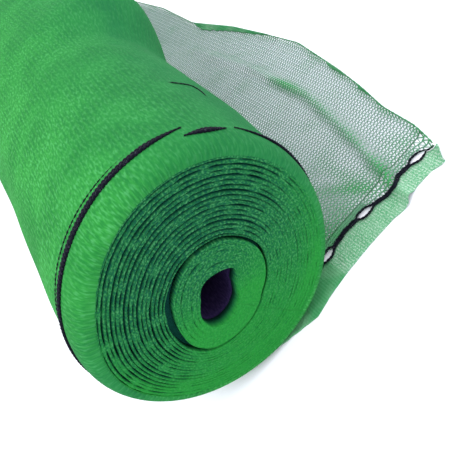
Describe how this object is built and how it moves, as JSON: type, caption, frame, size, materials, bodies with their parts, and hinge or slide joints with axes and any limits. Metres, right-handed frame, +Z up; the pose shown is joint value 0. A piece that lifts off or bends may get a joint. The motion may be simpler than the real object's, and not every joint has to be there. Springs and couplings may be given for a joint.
{
  "type": "roll of knitted debris netting with a loose end",
  "caption": "Roll of green knitted safety netting lying on its side, with a hollow through it and its loose end laid flat, edged by a black line of eyelet slits.",
  "frame": {"origin": "the middle of the flat spot under the roll's axis, at mid width, on the ground", "axes": "+Z up from the ground, +Y along the roll's axis from the near end with the eyelet slits, +X to the side where the loose end lies"},
  "size_m": [0.4054, 1.005, 0.2404],
  "materials": {
    "green_netting": "warp-knitted polyethylene, matt with a slight sheen",
    "black_cord": "black knitted reinforcing cord"
  },
  "bodies": {
    "root": {"wound_roll": "green_netting", "loose_panel": "green_netting", "eyelet_strip_1": "green_netting", "eyelet_strip_2": "green_netting", "eyelet_strip_3": "green_netting", "line_on_strip": "black_cord", "line_over_roll": "black_cord", "line_beside_roll": "black_cord"}
  },
  "joints": []
}
